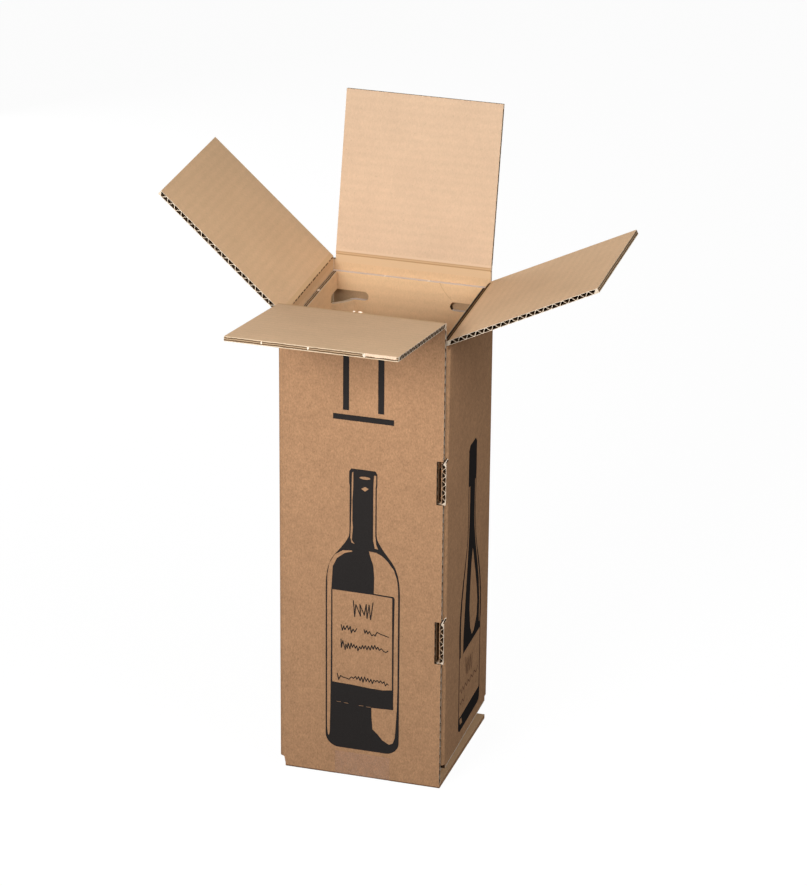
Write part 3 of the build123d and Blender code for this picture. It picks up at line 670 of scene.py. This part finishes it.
# A ragged pale strip on the right wall along its lower fold: a painted highlight of the fold.
stations = np.linspace(-HIGHLIGHT_END, HIGHLIGHT_END, HIGHLIGHT_POINTS)
ragged = HIGHLIGHT_LEAST + HIGHLIGHT_ROUGHNESS * np.random.default_rng(9).random(HIGHLIGHT_POINTS)
ragged_ribbon(
    "side_fold_painted_highlight", np.array([wide + PAPER_LIFT, 0, HIGHLIGHT_FOOT]) + stations[:, None] * np.array([0, 1, 0]),
    ragged[:, None] * np.array([0, 0, 1]), torn_paper, "box",
)
EAR_SHADOW_LINES = [
    [(69.5, 304.1), (72.9, 309.7)], [(72.7, 305.9), (74.0, 309.0)],
    [(69.2, 156.5), (71.7, 161.8)], [(72.7, 160.1), (73.9, 162.7)],
]
TORN_EARS = [[(71.1, 304.5), (73.8, 309.3)], [(70.7, 157.7), (74.1, 163.9)]]
front_wall = (0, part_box("carton")[0][1], 0)
# Dark strokes in the hollows under the torn ears: painted shadow.
ear_shadow = cut_board("painted_shadow_under_torn_ears", "2c1e12")
strokes("ear_painted_shadows", EAR_SHADOW_LINES, front_wall, (1, 0, 0), EAR_SHADOW_WIDTH, ear_shadow)
strokes("torn_ears", TORN_EARS, front_wall, (1, 0, 0), EAR_WIDTH, torn_paper)
rim_x, rim_y, rim_z = sleeve_low[0] + BOARD / 2, sleeve_high[1] - BOARD / 2, sleeve_high[2] + RIM_LIFT
tufts(
    "sleeve_nicks", [(-0.022, rim_y, rim_z), (0.0165, rim_y, rim_z), (rim_x, 0.0185, rim_z)],
    (1, 0, 0), (0, 1, 0), SLEEVE_NICKS, "box", 11,
)

# Inner liner
# A second sheet of the same board, creased into a square sleeve that stands on the floor flaps and doubles
# the walls. Slots free a strip at each corner, and the one at the back left is pushed in, ready to hold a
# bottle.
SLEEVE_INSIDE, SLEEVE_EDGE, SLEEVE_OUTSIDE, SHADED_SLOT_END = range(4)
UPRIGHT, ASKEW, NEARLY_LEVEL = 0.1, 0.2, 0.8
PRESS_WIDTH = 0.0007
centre, normal = faces_of("inner_liner")
x, y, z = centre.T
nx, ny, nz = normal.T
low, high = sleeve_low, sleeve_high
in_wall = (
    ((np.abs(x) > high[0] - BOARD + SKIN) & (np.abs(x) < high[0] - SKIN))
    | ((y > high[1] - BOARD + SKIN) & (y < high[1] - SKIN))
    | ((y < low[1] + BOARD - SKIN) & (y > low[1] + SKIN))
)
choice = np.full(len(centre), SLEEVE_EDGE)
choice[(np.abs(nz) < UPRIGHT) & ~in_wall] = SLEEVE_INSIDE
choice[(np.abs(nx) > ASKEW) & (np.abs(ny) > ASKEW)] = SLEEVE_INSIDE
# The sleeve's outer front face, seen only through the notches, is brown paper toned darker still: painted
# shade.
choice[(ny < -SQUARE) & (y < low[1] + SKIN)] = SLEEVE_OUTSIDE
# The slots' cut ends are toned dark: painted shade.
choice[in_wall & (np.abs(nz) < NEARLY_LEVEL)] = SHADED_SLOT_END
# From the right wall's inner paper outwards the sleeve's rim is darkened: painted shade under the right
# flap.
shaded_from, pressed_from = high[0] - BOARD + SKIN, high[1] - BOARD + SKIN
dress("inner_liner", [
    kraft_paper("pale_kraft_sleeve", "dfbb92"),
    level_edge("sleeve_edge", wall_offsets(high[0], low[1], high[1]), shaded_from, pressed_from),
    kraft_paper("brown_sleeve_outside_painted_shade", "6a4c33"), cut_board("painted_shade_slot_end", "4a3623"),
], choice)
press_line = [(26.6, 407.0), (27.1, 405.9), (28.6, 402.8), (31.3, 398.8), (34.0, 395.6), (36.8, 392.8)]
strokes(
    "sleeve_crease_mark", [press_line], (0, high[1] - BOARD, 0), (1, 0, 0), PRESS_WIDTH,
    kraft_paper("pressed_crease_mark", "cfab84"),
)

# Bottom tape
# A strip of clear polypropylene packing tape pressed over the floor flaps from front to back.
# It is all but invisible: it greys the paper a little, and small bubbles of air under it show as white
# spots, painted highlights in its colour.
TAPE_RIPPLES_PER_METRE = 90.0
BUBBLES_PER_METRE = 620.0
clear_film, tree, output = new_material("clear_packing_tape")
place = add_node(tree, "ShaderNodeTexCoord").outputs["Object"]
ripples = add_node(
    tree, "ShaderNodeTexNoise", [("Vector", place)], Scale=TAPE_RIPPLES_PER_METRE, Detail=2.0
)
bump = add_node(
    tree, "ShaderNodeBump", [("Height", ripples.outputs["Fac"])], Strength=0.25, Distance=0.0004
)
bubbles = add_node(tree, "ShaderNodeTexNoise", [("Vector", place)], Scale=BUBBLES_PER_METRE, Detail=1.0)
bubble_glint_mask = add_node(
    tree, "ShaderNodeMapRange", [("Value", bubbles.outputs["Fac"])], From_Min=0.60, From_Max=0.68
)
glint = add_node(tree, "ShaderNodeMix", data_type="RGBA", inputs=[
    ("Factor", bubble_glint_mask.outputs["Result"]), (MIX_FIRST, linear("f0cbb9")),
    (MIX_SECOND, linear("ffffff")),
])
film = add_node(
    tree, "ShaderNodeBsdfPrincipled",
    [("Base Color", glint.outputs[MIX_RESULT]), ("Normal", bump.outputs["Normal"])],
    Roughness=0.3, IOR=1.5, Alpha=0.11,
)
tree.links.new(film.outputs["BSDF"], output.inputs["Surface"])
dress("bottom_tape", [clear_film], np.zeros(len(frame["nodes"]["bottom_tape"].data.polygons)))

# Print
# Black flexographic ink, one colour, laid on the brown paper before the sheet was cut.
# The solids are not quite even: paper fibres show through as fine paler grain.
INK_GRAIN_PER_METRE = 900.0
FRONT_LINE_WIDTH, SIDE_LINE_WIDTH = 0.00085, 0.0011
black_ink, tree, output = new_material("black_flexo_ink")
place = add_node(tree, "ShaderNodeTexCoord").outputs["Object"]
grain = add_node(
    tree, "ShaderNodeTexNoise", [("Vector", place)],
    Scale=INK_GRAIN_PER_METRE, Detail=3.0, Roughness=0.6,
)
thin_ink = add_node(
    tree, "ShaderNodeMapRange", [("Value", grain.outputs["Fac"])], From_Min=0.35, From_Max=0.75
)
tone = add_node(tree, "ShaderNodeMix", data_type="RGBA", inputs=[
    ("Factor", thin_ink.outputs["Result"]), (MIX_FIRST, linear("2f2c2b")),
    (MIX_SECOND, linear("343130")),
])
ink = add_node(
    tree, "ShaderNodeBsdfPrincipled", [("Base Color", tone.outputs[MIX_RESULT])],
    Roughness=0.7, IOR=1.5, Specular_IOR_Level=0.0,
)
tree.links.new(ink.outputs["BSDF"], output.inputs["Surface"])
for node in ("front_print", "side_print"):
    dress(node, [black_ink], np.zeros(len(frame["nodes"][node].data.polygons)))

FRONT_STROKES = [
    [(-6.8, 168.3), (-5.5, 153.4), (-4.6, 164.9), (-0.3, 154.4), (-1.1, 165.4), (2.8, 155.7), (4.5, 166.2),
     (5.3, 152.9), (7, 166), (8.4, 152.2), (10.5, 168.7)],
    [(-17.4, 144.1), (-16.4, 138.8), (-15.1, 143.3), (-14.2, 139.6), (-12.1, 143.9), (-10.9, 140.0),
     (-9.4, 143.4), (-8.5, 137.3), (-7, 141.3), (-5.5, 138.8), (-3.7, 142.3)],
    [(2.8, 142.2), (3.6, 138.9), (4.9, 141.7), (6.0, 138.6), (7.4, 141.2), (9.5, 137.5), (11.2, 138.8),
     (12.4, 137.6), (14.2, 141.4), (17.0, 140.1), (24.3, 138.2)],
    [(-17.6, 130.5), (-17.2, 122.4), (-16.0, 129.2), (-13.8, 120.9), (-13.2, 126.2), (-12.0, 122.4),
     (-11.2, 127.6), (-9.7, 122.2), (-8.6, 128.0), (-7.5, 123.9), (-6.1, 127.0), (-4.9, 123.4),
     (-3.7, 126.2), (-2.6, 121.3), (-1.2, 125.6), (0.2, 123.6), (1.4, 127.2), (2.6, 124.2), (3.9, 127.4),
     (5.3, 123.6), (6.7, 127.3), (8.2, 123.8), (9.6, 128.4), (10.9, 124.8), (12.2, 128.9), (13.6, 125.2),
     (14.9, 127.6), (16.2, 124.6), (18.0, 126.6), (20.0, 124.2), (22.0, 123.6), (24.0, 125.2)],
    [(-20.8, 97.6), (-19.6, 91.6), (-17.8, 95.6), (-15.6, 94.4), (-12.8, 94.0), (-10.4, 93.2), (-8.2, 95.8),
     (-6.4, 94.6), (-4.6, 96.8), (-3.4, 94.2), (-2.0, 97.0), (-0.6, 93.2), (0.8, 97.2), (2.0, 92.2),
     (3.4, 97.6), (4.8, 93.4), (6.2, 96.6), (7.6, 93.0), (9.0, 96.2), (10.2, 92.0), (11.6, 95.8),
     (13.2, 94.4), (14.6, 96.0), (16.2, 94.0), (17.6, 96.0), (19.2, 93.8), (20.6, 95.6), (21.8, 91.6),
     (23.2, 94.2), (24.4, 92.9)],
]
SIDE_STROKES = [
    [(-2, 92), (1, 74), (3, 89), (6, 72), (8.5, 88), (11, 73), (14, 87), (17, 71), (20, 86)],
    [(-17, 68), (-14, 63), (-10, 67.5), (-6, 62.5), (-2, 67), (3, 62), (7, 66), (12, 61.5), (17, 65.5),
     (22, 61), (27, 65), (33, 60.5), (39, 64)],
    [(-19, 56), (-15, 52.5), (-11, 56), (-7, 52), (-2, 55)],
]
front_print_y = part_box("front_print")[0][1]
side_print_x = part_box("side_print")[1][0]
faint_ink = kraft_paper("faint_flexo_ink", "7c5b43")
strokes(
    "front_label_strokes", FRONT_STROKES, (0, front_print_y, 0), (1, 0, 0),
    FRONT_LINE_WIDTH, black_ink,
)
strokes(
    "side_label_strokes", SIDE_STROKES, (side_print_x, 0, 0), (0, 1, 0),
    SIDE_LINE_WIDTH, faint_ink,
)

# Floor, light and camera
# A pale studio floor that the camera sees as white, with the box's own soft shadow on it, five soft boxes
# round the box, and a camera at the photo's place.
FLOOR_HALF = 6.0
FLOOR_SEEN = 0.8
FLOOR_GLOW = 1.2
AIR_LIGHT = 0.11


def seen_directly(tree):
    """Is 1 on rays from the camera, a glossy surface or glass, which see the background itself, else 0."""
    rays = add_node(tree, "ShaderNodeLightPath").outputs
    seen = rays["Is Camera Ray"]
    for kind in ("Is Glossy Ray", "Is Transmission Ray"):
        seen = add_node(
            tree, "ShaderNodeMath", [(0, seen), (1, rays[kind])], operation="MAXIMUM"
        ).outputs[0]
    return seen


corners = np.array([(-1, -1, 0), (1, -1, 0), (1, 1, 0), (-1, 1, 0)]) * FLOOR_HALF
mesh = bpy.data.meshes.new("studio_floor")
mesh.from_pydata(corners.tolist(), [], [(0, 1, 2, 3)])
floor = bpy.data.objects.new("studio_floor", mesh)
bpy.context.scene.collection.objects.link(floor)
pale_floor, tree, output = new_material("pale_studio_floor")
seen = seen_directly(tree)
share = add_node(tree, "ShaderNodeMath", [(0, seen), (1, FLOOR_SEEN)], operation="MULTIPLY")
matt = add_node(tree, "ShaderNodeBsdfDiffuse", Color=(0.3, 0.3, 0.3, 1))
glow = add_node(tree, "ShaderNodeEmission", Color=(1, 1, 1, 1), Strength=FLOOR_GLOW)
both = add_node(
    tree, "ShaderNodeMixShader", [("Fac", share.outputs[0]), (1, matt.outputs[0]), (2, glow.outputs[0])]
)
tree.links.new(both.outputs[0], output.inputs["Surface"])
mesh.materials.append(pale_floor)

world = bpy.data.worlds.new("studio_air")
bpy.context.scene.world = world
world.use_nodes = True
tree = world.node_tree
tree.nodes.clear()
output = add_node(tree, "ShaderNodeOutputWorld")
seen = seen_directly(tree)
strength = add_node(tree, "ShaderNodeMapRange", [("Value", seen)], To_Min=AIR_LIGHT, To_Max=1.0)
air = add_node(
    tree, "ShaderNodeBackground", [("Strength", strength.outputs["Result"])], Color=(1, 1, 1, 1)
)
tree.links.new(air.outputs[0], output.inputs["Surface"])


def soft_box(name, place, aim, size, power):
    """A square area light at place, turned towards aim."""
    lamp = bpy.data.lights.new(name, "AREA")
    lamp.size = size
    lamp.energy = power
    box = bpy.data.objects.new(name, lamp)
    bpy.context.scene.collection.objects.link(box)
    box.location = place
    box.rotation_euler = (Vector(aim) - Vector(place)).to_track_quat("-Z", "Y").to_euler()
    box.visible_camera = False


HEART = (0, 0, 0.35)
soft_box("near_front_soft_box", (-0.20, -0.82, 0.72), HEART, 0.3, 6.3)
soft_box("far_front_soft_box", (-0.25, -2.1, 0.80), HEART, 0.8, 5.8)
soft_box("top_soft_box", (0.10, -0.20, 1.4), HEART, 0.8, 1.9)
soft_box("right_soft_box", (0.75, -0.35, 0.95), HEART, 0.5, 4.2)
soft_box("back_left_soft_box", (-1.2, 1.1, 0.45), (0, 0, 0.3), 0.8, 12.6)

AZIMUTH = math.radians(16.07)
ELEVATION = math.radians(24.08)
ROLL = math.radians(0.53)
DISTANCE = 3.27895
FOCAL_PIXELS = 3889.86
IMAGE_WIDTH = 807
SENSOR_WIDTH = 36.0
TARGET = np.array([0.01473, 0, 0.28482])
back = np.array([
    math.sin(AZIMUTH) * math.cos(ELEVATION), -math.cos(AZIMUTH) * math.cos(ELEVATION),
    math.sin(ELEVATION),
])
level = np.cross(-back, (0, 0, 1))
level /= np.linalg.norm(level)
upright = np.cross(level, -back)
right = math.cos(ROLL) * level + math.sin(ROLL) * upright
above = math.cos(ROLL) * upright - math.sin(ROLL) * level
camera = bpy.data.objects.new("camera", bpy.data.cameras.new("camera"))
bpy.context.scene.collection.objects.link(camera)
camera.data.sensor_fit = "HORIZONTAL"
camera.data.sensor_width = SENSOR_WIDTH
camera.data.lens = FOCAL_PIXELS * SENSOR_WIDTH / IMAGE_WIDTH
camera.matrix_world = Matrix.Translation(TARGET + DISTANCE * back) @ Matrix(
    np.column_stack([right, above, back]).tolist()
).to_4x4()
bpy.context.scene.camera = camera
bpy.context.scene.view_settings.view_transform = "Standard"
